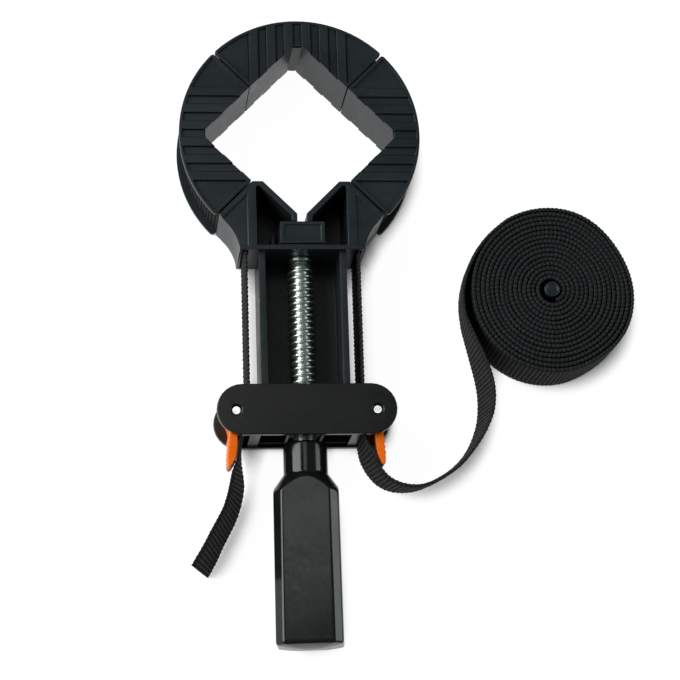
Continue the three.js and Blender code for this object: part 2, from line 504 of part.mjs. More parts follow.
// coil of spare webbing, standing on its edge, with the peg it is wound on
const coil = lathe([[COIL_HOLE, 0], [COIL_R, 0], [COIL_R, WEB_W], [COIL_HOLE, WEB_W], [COIL_HOLE, 0]], 48);
coil.rotateX(Math.PI / 2);
coil.translate(COIL_X, COIL_Y, 0);
add('webbing_coil', coil, 'webbing');
const peg = lathe([[0, 0.2], [2.9, 0.2], [2.9, WEB_W - 1.2], [3.2, WEB_W - 1.2], [3.2, WEB_W + 1.2], [2.95, WEB_W + 1.45], [2.2, WEB_W + 1.45], [2.05, WEB_W + 1.2], [0, WEB_W + 1.2]], 24);
peg.rotateX(Math.PI / 2);
peg.translate(COIL_X, COIL_Y, 0);
add('coil_peg', peg, 'black');

export default root;
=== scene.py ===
import json
import math

import bmesh
import bpy
import numpy as np
from mathutils import Matrix, Vector

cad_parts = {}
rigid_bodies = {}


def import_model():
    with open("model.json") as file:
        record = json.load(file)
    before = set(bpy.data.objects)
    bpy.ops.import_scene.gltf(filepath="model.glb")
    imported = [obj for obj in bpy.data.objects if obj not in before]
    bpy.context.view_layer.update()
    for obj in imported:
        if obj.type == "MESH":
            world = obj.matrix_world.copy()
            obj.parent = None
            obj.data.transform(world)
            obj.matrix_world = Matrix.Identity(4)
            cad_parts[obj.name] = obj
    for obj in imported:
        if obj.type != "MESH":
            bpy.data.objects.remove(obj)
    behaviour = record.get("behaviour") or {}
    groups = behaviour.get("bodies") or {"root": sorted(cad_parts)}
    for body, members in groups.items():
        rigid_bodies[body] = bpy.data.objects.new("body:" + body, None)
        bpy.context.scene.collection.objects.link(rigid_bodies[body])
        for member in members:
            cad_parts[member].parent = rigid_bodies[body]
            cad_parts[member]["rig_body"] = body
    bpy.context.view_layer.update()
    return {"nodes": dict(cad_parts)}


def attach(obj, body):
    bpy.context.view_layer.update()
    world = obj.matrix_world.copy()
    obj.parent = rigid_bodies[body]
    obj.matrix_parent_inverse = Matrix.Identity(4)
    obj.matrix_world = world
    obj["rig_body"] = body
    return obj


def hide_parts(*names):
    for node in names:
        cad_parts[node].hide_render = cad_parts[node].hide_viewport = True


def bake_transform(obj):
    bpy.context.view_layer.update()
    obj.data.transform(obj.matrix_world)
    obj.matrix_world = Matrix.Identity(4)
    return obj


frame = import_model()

MM = 0.001
RING_Y = 79.0                 # the ring's centre; ring-centred Y plus this is the row frame's Y
ZM = 14.8
nodes = frame["nodes"]

# ------------------------------------------------------------------ camera
cam = bpy.data.objects.new("camera", bpy.data.cameras.new("camera"))
bpy.context.scene.collection.objects.link(cam)
right = Vector((0.9940518, -0.03071511, 0.10448729))
up = Vector((0.00350363, 0.96792875, 0.25120042))
ahead = Vector((0.1088519, 0.24934015, -0.96227894))
cam.matrix_world = Matrix((
    (right.x, up.x, -ahead.x, -0.0815640),
    (right.y, up.y, -ahead.y, -0.2255760),
    (right.z, up.z, -ahead.z, 0.8711900),
    (0, 0, 0, 1)))
cam.data.sensor_width = 36.0
cam.data.lens = 116.89
cam.data.clip_start, cam.data.clip_end = 0.05, 20
bpy.context.scene.camera = cam


# ------------------------------------------------------------------ material helpers
class Nodes:
    """A short way to build a node material."""

    def __init__(self, name):
        self.m = bpy.data.materials.new(name)
        self.m.use_nodes = True
        self.t = self.m.node_tree
        self.t.nodes.clear()
        self.out = self.t.nodes.new("ShaderNodeOutputMaterial")
        self.b = self.t.nodes.new("ShaderNodeBsdfPrincipled")
        self.t.links.new(self.b.outputs[0], self.out.inputs[0])
        self.coord = self.t.nodes.new("ShaderNodeTexCoord").outputs["Object"]

    def add(self, kind, **props):
        n = self.t.nodes.new(kind)
        for k, v in props.items():
            setattr(n, k, v)
        return n

    def link(self, a, b):
        self.t.links.new(a, b)

    def scaled(self, sx, sy, sz, source=None):
        n = self.add("ShaderNodeMapping")
        self.link(source or self.coord, n.inputs["Vector"])
        n.inputs["Scale"].default_value = (sx, sy, sz)
        return n.outputs[0]

    def noise(self, scale, detail=3.0, rough=0.5, vector=None, distortion=0.0):
        n = self.add("ShaderNodeTexNoise")
        self.link(vector or self.coord, n.inputs["Vector"])
        n.inputs["Scale"].default_value = scale
        n.inputs["Detail"].default_value = detail
        n.inputs["Roughness"].default_value = rough
        n.inputs["Distortion"].default_value = distortion
        return n.outputs["Fac"]

    def spread(self, value, a0, a1, b0, b1):
        n = self.add("ShaderNodeMapRange")
        self.link(value, n.inputs["Value"])
        for k, v in zip(("From Min", "From Max", "To Min", "To Max"), (a0, a1, b0, b1)):
            n.inputs[k].default_value = v
        return n.outputs["Result"]

    def math(self, op, a, b=None, clamp=False):
        n = self.add("ShaderNodeMath", operation=op, use_clamp=clamp)
        for i, v in enumerate((a, b)):
            if v is None:
                continue
            if isinstance(v, (int, float)):
                n.inputs[i].default_value = v
            else:
                self.link(v, n.inputs[i])
        return n.outputs[0]

    def ramp(self, value, stops):
        n = self.add("ShaderNodeValToRGB")
        self.link(value, n.inputs["Fac"])
        e = n.color_ramp.elements
        while len(e) < len(stops):
            e.new(0.5)
        for el, (p, c) in zip(e, stops):
            el.position = p
            el.color = (*c, 1)
        return n.outputs["Color"]

    def mix(self, fac, a, b):
        n = self.add("ShaderNodeMix", data_type="RGBA")
        if isinstance(fac, (int, float)):
            n.inputs["Factor"].default_value = fac
        else:
            self.link(fac, n.inputs["Factor"])
        for k, v in (("A", a), ("B", b)):
            socket = [s for s in n.inputs if s.name == k and s.type == "RGBA"][0]
            if isinstance(v, tuple):
                socket.default_value = (*v, 1)
            else:
                self.link(v, socket)
        return [s for s in n.outputs if s.type == "RGBA"][0]

    def bump(self, height, strength, distance, normal=None):
        n = self.add("ShaderNodeBump")
        self.link(height, n.inputs["Height"])
        n.inputs["Strength"].default_value = strength
        n.inputs["Distance"].default_value = distance
        if normal:
            self.link(normal, n.inputs["Normal"])
        return n.outputs[0]


def moulded(name, dark, light, rough, tint, grain=900.0, grain_depth=0.00004, wave=26.0, wave_depth=0.00012, spec=0.5, specks=0.35):
    """Moulded plastic: faint flow marks in colour and gloss, a fine grain, and long shallow sink marks."""
    n = Nodes(name)
    flow = n.noise(38.0, 4.0, 0.55, n.scaled(1.0, 1.9, 1.0))
    fine = n.noise(grain, 2.0, 0.6)
    dust = n.noise(420.0, 3.0, 0.62)
    base = n.mix(n.spread(flow, 0.3, 0.7, 0.0, 1.0), dark, light)
    base = n.mix(n.spread(dust, 0.62, 0.82, 0.0, specks), base, tuple(min(1.0, c * 2.1 + 0.004) for c in light))
    n.link(base, n.b.inputs["Base Color"])
    r = n.math("ADD", n.spread(flow, 0.3, 0.7, rough - 0.05, rough + 0.05), n.spread(dust, 0.35, 0.7, -0.02, 0.05))
    n.link(r, n.b.inputs["Roughness"])
    first = n.bump(n.noise(wave, 1.0, 0.4), 0.35, wave_depth)
    n.link(n.bump(fine, 0.5, grain_depth, first), n.b.inputs["Normal"])
    n.b.inputs["Specular IOR Level"].default_value = spec
    n.b.inputs["Specular Tint"].default_value = (*tint, 1)
    return n.m


def steel(name, base, rough, streak=(1.0, 1.0, 1.0)):
    n = Nodes(name)
    drawn = n.noise(900.0, 3.0, 0.6, n.scaled(*streak))
    cloud = n.noise(140.0, 3.0, 0.6)
    spots = n.noise(520.0, 4.0, 0.7)
    c = n.mix(n.spread(cloud, 0.35, 0.7, 0.0, 1.0), base, tuple(x * 0.84 for x in base))
    c = n.mix(n.spread(spots, 0.63, 0.8, 0.0, 0.3), c, (0.40, 0.42, 0.38))
    n.link(c, n.b.inputs["Base Color"])
    n.link(n.math("ADD", n.spread(drawn, 0.3, 0.7, rough - 0.05, rough + 0.07), n.spread(cloud, 0.4, 0.7, 0.0, 0.06)), n.b.inputs["Roughness"])
    n.link(n.bump(drawn, 0.25, 0.00002), n.b.inputs["Normal"])
    n.b.inputs["Metallic"].default_value = 1.0
    return n.m


def woven(name):
    """Ribbed webbing. The map's V runs along the strap and its U across it, both in metres."""
    n = Nodes(name)
    uv = n.add("ShaderNodeUVMap", uv_map="strap").outputs[0]
    sep = n.add("ShaderNodeSeparateXYZ")
    n.link(uv, sep.inputs[0])
    across, along = sep.outputs["X"], sep.outputs["Y"]
    # warp ends: fine twisted threads side by side, shifted by half a thread from rib to rib
    rib = n.math("FLOOR", n.math("MULTIPLY", along, 1000.0 / 0.975))
    shift = n.math("MULTIPLY", n.math("MODULO", rib, 2.0), 0.5)
    thread = n.math("SINE", n.math("MULTIPLY", n.math("ADD", n.math("MULTIPLY", across, 1000.0 / 0.62), shift), 2 * math.pi))
    fibre = n.noise(1.0, 3.0, 0.6, n.scaled(5200.0, 900.0, 1.0, uv))
    wool = n.noise(2600.0, 3.0, 0.65)
    broad = n.noise(60.0, 2.0, 0.5)
    rib_wave = n.math("COSINE", n.math("MULTIPLY", along, 2 * math.pi * 1000.0 / PITCH))
    crest = n.spread(rib_wave, 1.0, -1.0, 0.0, 1.0)            # the ribs stand half a pitch from the grooves
    other = n.math("SINE", n.math("MULTIPLY", along, math.pi * 1000.0 / PITCH))
    pair = n.spread(other, -0.35, 0.35, 0.45, 1.0)             # every second rib is lower and gets a weaker painted highlight
    base = n.mix(n.spread(broad, 0.35, 0.65, 0.0, 1.0), (0.0066, 0.0080, 0.0079), (0.0098, 0.0106, 0.0106))
    # painted highlight: the crests of the ribs are painted lighter
    painted_rib_highlight = n.math("MULTIPLY", n.spread(crest, 0.62, 1.0, 0.0, 1.0), pair)
    base = n.mix(n.math("MULTIPLY", n.spread(fibre, 0.40, 0.72, 0.12, 0.8), painted_rib_highlight), base, (0.052, 0.060, 0.057))
    # painted shade in the gaps between the threads
    base = n.mix(n.spread(thread, -1.0, -0.2, 0.5, 0.0), base, (0.0025, 0.003, 0.003))
    # painted shade in the grooves between the ribs
    base = n.mix(n.spread(crest, 0.0, 0.45, 0.8, 0.0), base, (0.0022, 0.0026, 0.0026))
    selvedge = n.spread(n.math("ABSOLUTE", across), 0.0117, 0.0123, 0.0, 0.85)
    base = n.mix(selvedge, base, n.mix(n.spread(fibre, 0.35, 0.7, 0.0, 1.0), (0.0130, 0.0158, 0.0166), (0.0280, 0.0328, 0.0340)))
    n.link(base, n.b.inputs["Base Color"])
    n.link(n.math("ADD", n.spread(fibre, 0.3, 0.8, 0.10, -0.06), n.spread(crest, 0.35, 1.0, 0.80, 0.54)), n.b.inputs["Roughness"])
    b = n.bump(thread, 0.55, 0.00010)
    b = n.bump(fibre, 0.5, 0.00006, b)
    n.link(n.bump(wool, 0.25, 0.00005, b), n.b.inputs["Normal"])
    n.b.inputs["Specular IOR Level"].default_value = 0.15
    return n.m


PITCH = 1.76                   # of the webbing's ribs, in millimetres

MATS = {
    "black_plastic": moulded("black_plastic", (0.0118, 0.0162, 0.0190), (0.0192, 0.0250, 0.0284), 0.31, (0.90, 1.0, 0.98), specks=0.5, spec=0.36),
    "gloss_handle": moulded("gloss_handle", (0.0060, 0.0064, 0.0068), (0.0090, 0.0094, 0.0098), 0.13, (0.93, 1.0, 0.97), grain=1400.0, grain_depth=0.000006, wave=16.0, wave_depth=0.00006),
    "plate_plastic": moulded("plate_plastic", (0.0078, 0.0082, 0.0083), (0.0108, 0.0112, 0.0113), 0.27, (0.95, 1.0, 0.97), grain=1200.0, grain_depth=0.00001, wave=18.0, wave_depth=0.00006, specks=0.12),
    "zinc_steel": steel("zinc_steel", (0.76, 0.83, 0.78), 0.31, (1.0, 0.15, 1.0)),
    "pin_steel": steel("pin_steel", (0.90, 0.93, 1.0), 0.17),
    "dark_steel": steel("dark_steel", (0.27, 0.28, 0.28), 0.34),
    "orange_plastic": moulded("orange_plastic", (0.92, 0.145, 0.004), (1.0, 0.195, 0.008), 0.40, (1.0, 0.80, 0.62), grain=1000.0, spec=0.30),
    "webbing": woven("webbing"),
}


def paint(obj, name):
    obj.data.materials.clear()
    obj.data.materials.append(MATS[name])


# ------------------------------------------------------------------ mesh helpers
def new_object(name, mesh, slot, look=None, body=None):
    obj = bpy.data.objects.new(name, mesh)
    bpy.context.scene.collection.objects.link(obj)
    paint(obj, look or slot)
    if body:
        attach(obj, body)
    return obj


def finish_normals(obj):
    w = obj.modifiers.new("normals", "WEIGHTED_NORMAL")
    w.keep_sharp = True
    w.weight = 60


def smooth_by_angle(bm, degrees):
    for f in bm.faces:
        f.smooth = True
    limit = math.radians(degrees)
    for e in bm.edges:
        e.smooth = len(e.link_faces) == 2 and e.calc_face_angle(0.0) < limit


def softened(node, name, slot, width=0.28, segments=2, angle=28.0, look=None, merge=0.05, rim=None):
    """A copy of a CAD node with its edges rounded, standing for the node."""
    src = nodes[node]
    bm = bmesh.new()
    bm.from_mesh(src.data)
    bmesh.ops.remove_doubles(bm, verts=bm.verts, dist=merge * MM)
    bmesh.ops.dissolve_degenerate(bm, dist=0.01 * MM, edges=bm.edges)
    bmesh.ops.dissolve_limit(bm, angle_limit=math.radians(0.8), verts=bm.verts, edges=bm.edges)
    bm.normal_update()
    if rim:                                                  # some edges are rounder than the rest
        wide, picks = rim
        first = [e for e in bm.edges if len(e.link_faces) == 2 and e.calc_face_angle(0.0) > math.radians(50) and picks(e)]
        bmesh.ops.bevel(bm, geom=first, offset=wide * MM, offset_type="OFFSET", segments=4, profile=0.5,
                        affect="EDGES", clamp_overlap=False, harden_normals=False, miter_outer="SHARP", miter_inner="SHARP")
    sharp = [e for e in bm.edges if len(e.link_faces) == 2 and e.calc_face_angle(0.0) > math.radians(angle)]
    bmesh.ops.bevel(bm, geom=sharp, offset=width * MM, offset_type="OFFSET", segments=segments, profile=0.5,
                    affect="EDGES", clamp_overlap=False, harden_normals=False, miter_outer="SHARP", miter_inner="SHARP")
    bmesh.ops.remove_doubles(bm, verts=bm.verts, dist=0.004 * MM)
    bmesh.ops.recalc_face_normals(bm, faces=bm.faces)
    bmesh.ops.triangulate(bm, faces=[f for f in bm.faces if len(f.verts) > 4], ngon_method="BEAUTY")
    smooth_by_angle(bm, 38)
    mesh = bpy.data.meshes.new(name)
    bm.to_mesh(mesh)
    bm.free()
    obj = new_object(name, mesh, slot, look, src["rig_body"])
    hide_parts(node)
    finish_normals(obj)
    return obj


def grid_mesh(name, rows, closed_ring=True, caps=True):
    """A mesh from an array of rings, [rings, points, 3], in millimetres of the row frame."""
    rows = np.asarray(rows, float)
    n, m, _ = rows.shape
    idx = np.arange(n * m).reshape(n, m)
    nxt = np.roll(idx, -1, axis=1)
    if not closed_ring:
        idx_, nxt_ = idx[:, :-1], idx[:, 1:]
    else:
        idx_, nxt_ = idx, nxt
    quads = np.stack([idx_[:-1], nxt_[:-1], nxt_[1:], idx_[1:]], axis=-1).reshape(-1, 4)
    faces = quads.tolist()
    if caps:
        faces.append(idx[0][::-1].tolist())
        faces.append(idx[-1].tolist())
    mesh = bpy.data.meshes.new(name)
    mesh.from_pydata((rows.reshape(-1, 3) * MM).tolist(), [], faces)
    mesh.update()
    return mesh


def outward(mesh):
    bm = bmesh.new()
    bm.from_mesh(mesh)
    bmesh.ops.recalc_face_normals(bm, faces=bm.faces)
    bm.to_mesh(mesh)
    bm.free()


def catmull(rows, per):
    """Catmull-Rom through the rows, per points for each interval."""
    rows = np.asarray(rows, float)
    p = np.vstack([2 * rows[0] - rows[1], rows, 2 * rows[-1] - rows[-2]])
    out = []
    for i in range(1, len(p) - 2):
        t = np.linspace(0, 1, per, endpoint=False)[:, None]
        a, b, c, d = p[i - 1], p[i], p[i + 1], p[i + 2]
        out.append(0.5 * (2 * b + (c - a) * t + (2 * a - 5 * b + 4 * c - d) * t ** 2 + (3 * b - a - 3 * c + d) * t ** 3))
    out.append(rows[-1][None])
    return np.vstack(out)


def smoothed(a, times):
    a = a.copy()
    for _ in range(times):
        a[1:-1] = 0.25 * a[:-2] + 0.5 * a[1:-1] + 0.25 * a[2:]
    return a


# ------------------------------------------------------------------ webbing
strap_length = {}


def strap(name, low, high, per=9, cross=9, thick=1.5, ridge=0.30, start=0.0, edge=0.28, wound=None, worn=0.72):
    """Ribbed webbing between the middle lines of its two edges, both [N, 3] in millimetres. start is how far along the
    band it begins, so that the ribs run on from piece to piece."""
    low, high = np.asarray(low, float), np.asarray(high, float)
    mid = (low + high) / 2
    s = np.r_[0, np.cumsum(np.linalg.norm(np.diff(mid, axis=0), axis=1))]
    length = s[-1]
    n = max(6, int(round(length / PITCH * per)))
    t = np.linspace(0, length, n + 1)
    L = np.stack([np.interp(t, s, low[:, k]) for k in range(3)], 1)
    H = np.stack([np.interp(t, s, high[:, k]) for k in range(3)], 1)
    M = (L + H) / 2
    across = H - L
    width = np.linalg.norm(across, axis=1)
    across /= width[:, None]
    tangent = np.gradient(M, axis=0)
    tangent -= across * np.sum(tangent * across, axis=1)[:, None]
    tangent /= np.linalg.norm(tangent, axis=1)[:, None]
    normal = np.cross(tangent, across)
    phase = (t + start) / PITCH
    wave = 0.5 - 0.5 * np.cos(2 * np.pi * phase)              # 0 in the grooves, 1 on the ribs
    rib = np.clip(wave, 0, 1) ** 0.9
    rib = rib * np.where(np.floor(phase) % 2 == 0, 1.0, 0.78)
    jitter = 0.03 * np.sin(phase * 2.399) + 0.02 * np.sin(phase * 5.1 + 1.0)
    rib = rib * (1 + jitter)
    v = np.linspace(-1, 1, cross)
    v = np.sign(v) * (1 - (1 - np.abs(v)) ** 1.35)            # closer together at the selvedges
    round_off = np.sqrt(np.clip(1 - np.clip((np.abs(v) - 0.93) / 0.07, 0, 1) ** 2 * worn, 0, 1))
    half = np.full(len(t), thick / 2)
    if wound:                                                # where it starts to be wound, and how thick it packs there
        half = half + (wound[1] - thick) / 2 * np.clip((t - wound[0]) / 250.0, 0, 1)
    half_t = (half - ridge)[:, None] * round_off[None, :] + ridge * 1.15 * rib[:, None] * round_off[None, :] ** 2
    half_w = (width / 2 - edge * 0.5)[:, None] * v[None, :] + np.where(np.abs(v) > 0.98, np.sign(v), 0)[None, :] * edge * rib[:, None]
    # the front and back faces, mirrored across the middle
    front = M[:, None] + across[:, None] * half_w[..., None] + normal[:, None] * half_t[..., None]
    back = M[:, None] + across[:, None] * half_w[..., None] - normal[:, None] * half_t[..., None]
    rings = np.concatenate([front, back[:, ::-1]], axis=1)
    mesh = grid_mesh(name, rings)
    m = rings.shape[1]
    u = np.concatenate([v, v[::-1]]) * 12.5 * MM
    uv_v = np.stack([np.broadcast_to(u, (n + 1, m)), np.broadcast_to(((t + start) * MM)[:, None], (n + 1, m))], -1).reshape(-1, 2)
    layer = mesh.uv_layers.new(name="strap")
    loop_v = np.zeros(len(mesh.loops), np.int32)
    mesh.loops.foreach_get("vertex_index", loop_v)
    layer.data.foreach_set("uv", uv_v[loop_v].astype(np.float32).ravel())
    outward(mesh)
    for p in mesh.polygons:
        p.use_smooth = True
    strap_length[name] = length
    obj = new_object(name, mesh, "webbing")
    return obj, length


def upright(path, z0, z1):
    path = np.asarray(path, float)
    low = np.column_stack([path, np.full(len(path), z0)])
    high = np.column_stack([path, np.full(len(path), z1)])
    return low, high


def arc(r, a0, a1, n, cx=0.0, cy=0.0):
    a = np.radians(np.linspace(a0, a1, n + 1))
    return np.column_stack([cx + r * np.cos(a), cy + r * np.sin(a)])


WEB_R, RUN_X, BEND_R = 45.7, 22.75, 22.0
PLATE_Y = -114.2
GRIP_END = PLATE_Y - 10.4
GRIP_TOP = PLATE_Y + 10.4
BEND_X = RUN_X + BEND_R
START = WEB_R / math.sqrt(2)
LEAD = (START - RUN_X - BEND_R * (1 - math.sqrt(0.5))) / math.sqrt(0.5)
BEND_Y = -START - LEAD * math.sqrt(0.5) - BEND_R * math.sqrt(0.5)
WZ0, WZ1 = ZM - 12.5, ZM + 12.5


def with_ring(p):
    p = np.asarray(p, float).copy()
    p[:, 1] += RING_Y
    return p


# the band round the ring, from the right run over the top to the left run, as one line
right_head = np.vstack([
    [[RUN_X, BEND_Y - 0.6], [RUN_X, BEND_Y]],
    arc(BEND_R, 180, 135, 14, BEND_X, BEND_Y)[1:],
])
ring = arc(WEB_R, -45, 225, 300)
left_head = right_head[::-1] * [-1, 1]
line = np.vstack([right_head, ring, left_head])


def part_of(line_, a, b):
    """The stretch of the band between two of its places, measured along it."""
    s = np.r_[0, np.cumsum(np.linalg.norm(np.diff(line_, axis=0), axis=1))]
    t = np.linspace(a, b, max(8, int((b - a) / 0.9)))
    return np.stack([np.interp(t, s, line_[:, k]) for k in range(2)], 1)


s_line = np.r_[0, np.cumsum(np.linalg.norm(np.diff(line, axis=0), axis=1))]
k_ring = len(right_head)
ring_start = s_line[k_ring]
per_deg = WEB_R * math.pi / 180
total_line = s_line[-1]


def at(deg):
    """Place along the band of an angle round the ring, counted from the lower right joint at -45."""
    return ring_start + (deg + 45) * per_deg


def band(name, a, b, stands_for):
    low, high = upright(with_ring(part_of(line, a, b)), WZ0, WZ1)
    obj, length = strap(name, low, high, start=a)
    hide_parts(*stands_for)
    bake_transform(obj)
    return obj


band("band_right_lower", 0.0, at(0), ["webbing_head_right", "webbing_right_jaw"])
band("band_right_upper", at(0), at(90), ["webbing_top_right"])
band("band_left_upper", at(90), at(180), ["webbing_top_left"])
band("band_left_lower", at(180), total_line, ["webbing_head_left", "webbing_left_jaw"])

# the two straight runs beside the channel, and the webbing held in the carriage
run_len = (BEND_Y - 0.6) - GRIP_TOP
for s, side in ((1, "right"), (-1, "left")):
    path = np.column_stack([np.full(30, s * RUN_X), np.linspace(GRIP_TOP, BEND_Y - 0.6, 30) + RING_Y])
    if s < 0:
        path = path[::-1]
    low, high = upright(path, WZ0, WZ1)
    obj, length = strap("run_" + side, low, high, start=(-run_len if s > 0 else total_line))
    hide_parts("webbing_run_" + side)
    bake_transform(obj)

grip_len = GRIP_TOP - GRIP_END
tail_rows = np.array([
    [-25.15, -125.0, 2.5, -1.3, 0], [-25.25, -128.4, 2.2, -1.8, -0.8], [-24.8, -132.2, 2.0, -3.3, -2.0], [-24.1, -136.1, 1.5, -5.6, -2.4],
    [-23.85, -140.2, 1.0, -6.6, -1.7], [-24.6, -145.2, 0.6, -6.6, -0.1], [-25.95, -150.0, 0.4, -6.1, 1.6], [-27.85, -154.8, 0.4, -5.6, 2.4],
    [-30.3, -159.6, 0.4, -5.4, 2.9], [-32.75, -164.3, 0.4, -5.7, 2.7], [-35.4, -170.0, 0.4, -6.0, 2.9], [-38.85, -176.1, 0.4, -7.1, 1.4]])
grip_rows = np.array([[-22.75, GRIP_TOP, 2.9, 0, 0], [-22.75, GRIP_TOP - 4, 3.2, 0, 0], [-22.75, -113.4, 3.2, 0, 0], [-23.2, -117.4, 3.2, 0, 0], [-24.2, -121.2, 3.1, -0.5, 0]])


def edges_of(rows, per=14, widths=None):
    d = catmull(rows, per)
    low = d[:, :3].copy()
    w = 25.0 if widths is None else np.interp(np.linspace(0, 1, len(d)), np.linspace(0, 1, len(widths)), widths)
    high = low.copy()
    high[:, 0] += d[:, 3]
    high[:, 1] += d[:, 4]
    high[:, 2] += np.sqrt(w * w - d[:, 3] ** 2 - d[:, 4] ** 2)
    return with_ring(low), with_ring(high)


all_tail = np.vstack([grip_rows, tail_rows])
n_rows = len(all_tail)
tail_width = [24.4, 23.2, 23.2, 23.2, 23.4, 24.1, 24.8] + [25.0] * (n_rows - 7)
low, high = edges_of(all_tail, 14, tail_width)
tail, tail_len = strap("tail", low, high, start=total_line + run_len)
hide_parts("webbing_grip_left", "webbing_tail")
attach(tail, "carriage")

# the right end: held in the carriage, out in a bend on its edge, and wound into the coil, one piece
grip_r = np.array([[RUN_X, GRIP_TOP, 2.9, 0, 0], [RUN_X, GRIP_TOP - 4, 3.2, 0, 0], [RUN_X, GRIP_TOP - 10, 3.2, 0, 0], [RUN_X, GRIP_TOP - 16, 3.2, 0, 0]])
free_rows = np.array([
    [22.75, -125.0, 2.6, 0, 0], [23.15, -128.0, 2.3, 0.7, -0.4], [24.1, -131.2, 2.0, 1.4, -1.6], [26.6, -135.7, 1.7, 1.9, -1.9],
    [30.2, -139.5, 1.3, 1.6, -1.8], [34.6, -141.7, 0.9, 1.6, -1.9], [39.4, -142.4, 0.55, 1.4, -2.1], [44.6, -142.0, 0.4, 0.9, -2.3],
    [49.6, -140.3, 0.35, 0.8, -2.4], [54.9, -137.7, 0.35, 0.9, -2.0], [60.0, -134.5, 0.35, 0.9, -1.4], [64.4, -130.5, 0.35, 0.7, -0.7],
    [67.9, -125.7, 0.35, 1.0, -0.5], [70.5, -120.3, 0.35, 1.6, -0.5], [72.3, -114.7, 0.35, 2.2, -0.4], [73.1, -108.8, 0.35, 2.4, -0.1],
    [73.15, -102.9, 0.35, 2.1, 0.1], [72.4, -96.8, 0.35, 1.4, 0.2], [71.2, -90.9, 0.35, 0.5, 0], [69.9, -85.0, 0.35, -0.6, -0.2],
    [68.6, -79.0, 0.35, -1.7, -0.3], [67.6, -73.4, 0.35, -2.5, -0.3]])
COIL_X, COIL_Y = 101.1, -64.6


def spiral():
    """The coil from its outside inwards, clockwise from its left side."""
    lump_key = np.array([[0, 0], [0.25, 0.62], [0.5, 0.28], [0.75, 1.3], [1.0, 0]])   # beyond an even spiral, by turn
    u_end = 15.7
    step = 1 / 90
    u = np.arange(0.0, u_end, step)
    dense = catmull(lump_key, 24)
    r = 33.85 - 1.87 * u + np.interp(u % 1.0, dense[:, 0], dense[:, 1]) * np.exp(-u / 6.0)
    r = smoothed(r, 10)
    theta = 180.0 - u * 360.0
    depth = np.exp(-u / 5.0)
    wrapped = (theta % 360.0)

    def hump(centre, width):
        d = (wrapped - centre + 180) % 360 - 180
        return np.exp(-(d / width) ** 2)

    r = r + depth * (-1.2 * hump(30, 26) + 0.6 * hump(332, 22) - 0.5 * hump(300, 16) + 0.35 * hump(72, 20))
    rng = np.random.default_rng(7)
    k = rng.normal(size=(6, 2))
    wob = sum(k[i, 0] * np.sin((i + 2) * np.radians(theta) + k[i, 1] * 3 + u * 0.35 * i) for i in range(6))
    r = r + 0.055 * wob * np.clip(u / 3, 0, 1)
    x = COIL_X + r * np.cos(np.radians(theta))
    y = COIL_Y + r * np.sin(np.radians(theta))
    z = 0.35 + 0.16 * (1 + np.sin(u * 2.1 + 0.6)) + 0.10 * np.sin(np.radians(theta) * 3 + u)
    z = np.maximum(z, 0.15)
    lean = -2.6 * np.clip(1 - u / 0.16, 0, 1) ** 2
    return np.column_stack([x, y, z, lean, np.zeros_like(u)])


rows_free = np.vstack([grip_r, free_rows])
wid = [24.4, 23.2, 23.2, 23.3, 24.1, 24.8] + [25.0] * (len(rows_free) - 6)
sp = spiral()
dense_free = catmull(np.vstack([rows_free, sp[[1, 8]]]), 14)
cut = np.argmin(np.linalg.norm(dense_free[:, :2] - sp[1, :2], axis=1))
dense_free = dense_free[:cut]
w_free = np.interp(np.linspace(0, 1, len(dense_free)), np.linspace(0, 1, len(wid)), wid)
both = np.vstack([dense_free, sp[1:]])
w_all = np.r_[w_free, np.full(len(sp) - 1, 25.0)]
n_free = len(dense_free)
blendz = np.arange(n_free - 12, n_free + 14)
both[blendz] = smoothed(both[n_free - 13:n_free + 15], 10)[1:-1]
low = both[:, :3].copy()
high = low.copy()
high[:, 0] += both[:, 3]
high[:, 1] += both[:, 4]
high[:, 2] += np.sqrt(w_all ** 2 - both[:, 3] ** 2 - both[:, 4] ** 2)
low, high = with_ring(low), with_ring(high)
s_free = float(np.sum(np.linalg.norm(np.diff(low[:n_free], axis=0), axis=1)))
spare, spare_len = strap("spare", low, high, per=7, cross=8, start=-run_len - 3000 * PITCH, ridge=0.22, wound=(s_free, 1.84), worn=0.30)
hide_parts("webbing_grip_right", "webbing_free_run", "webbing_coil")
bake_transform(spare)


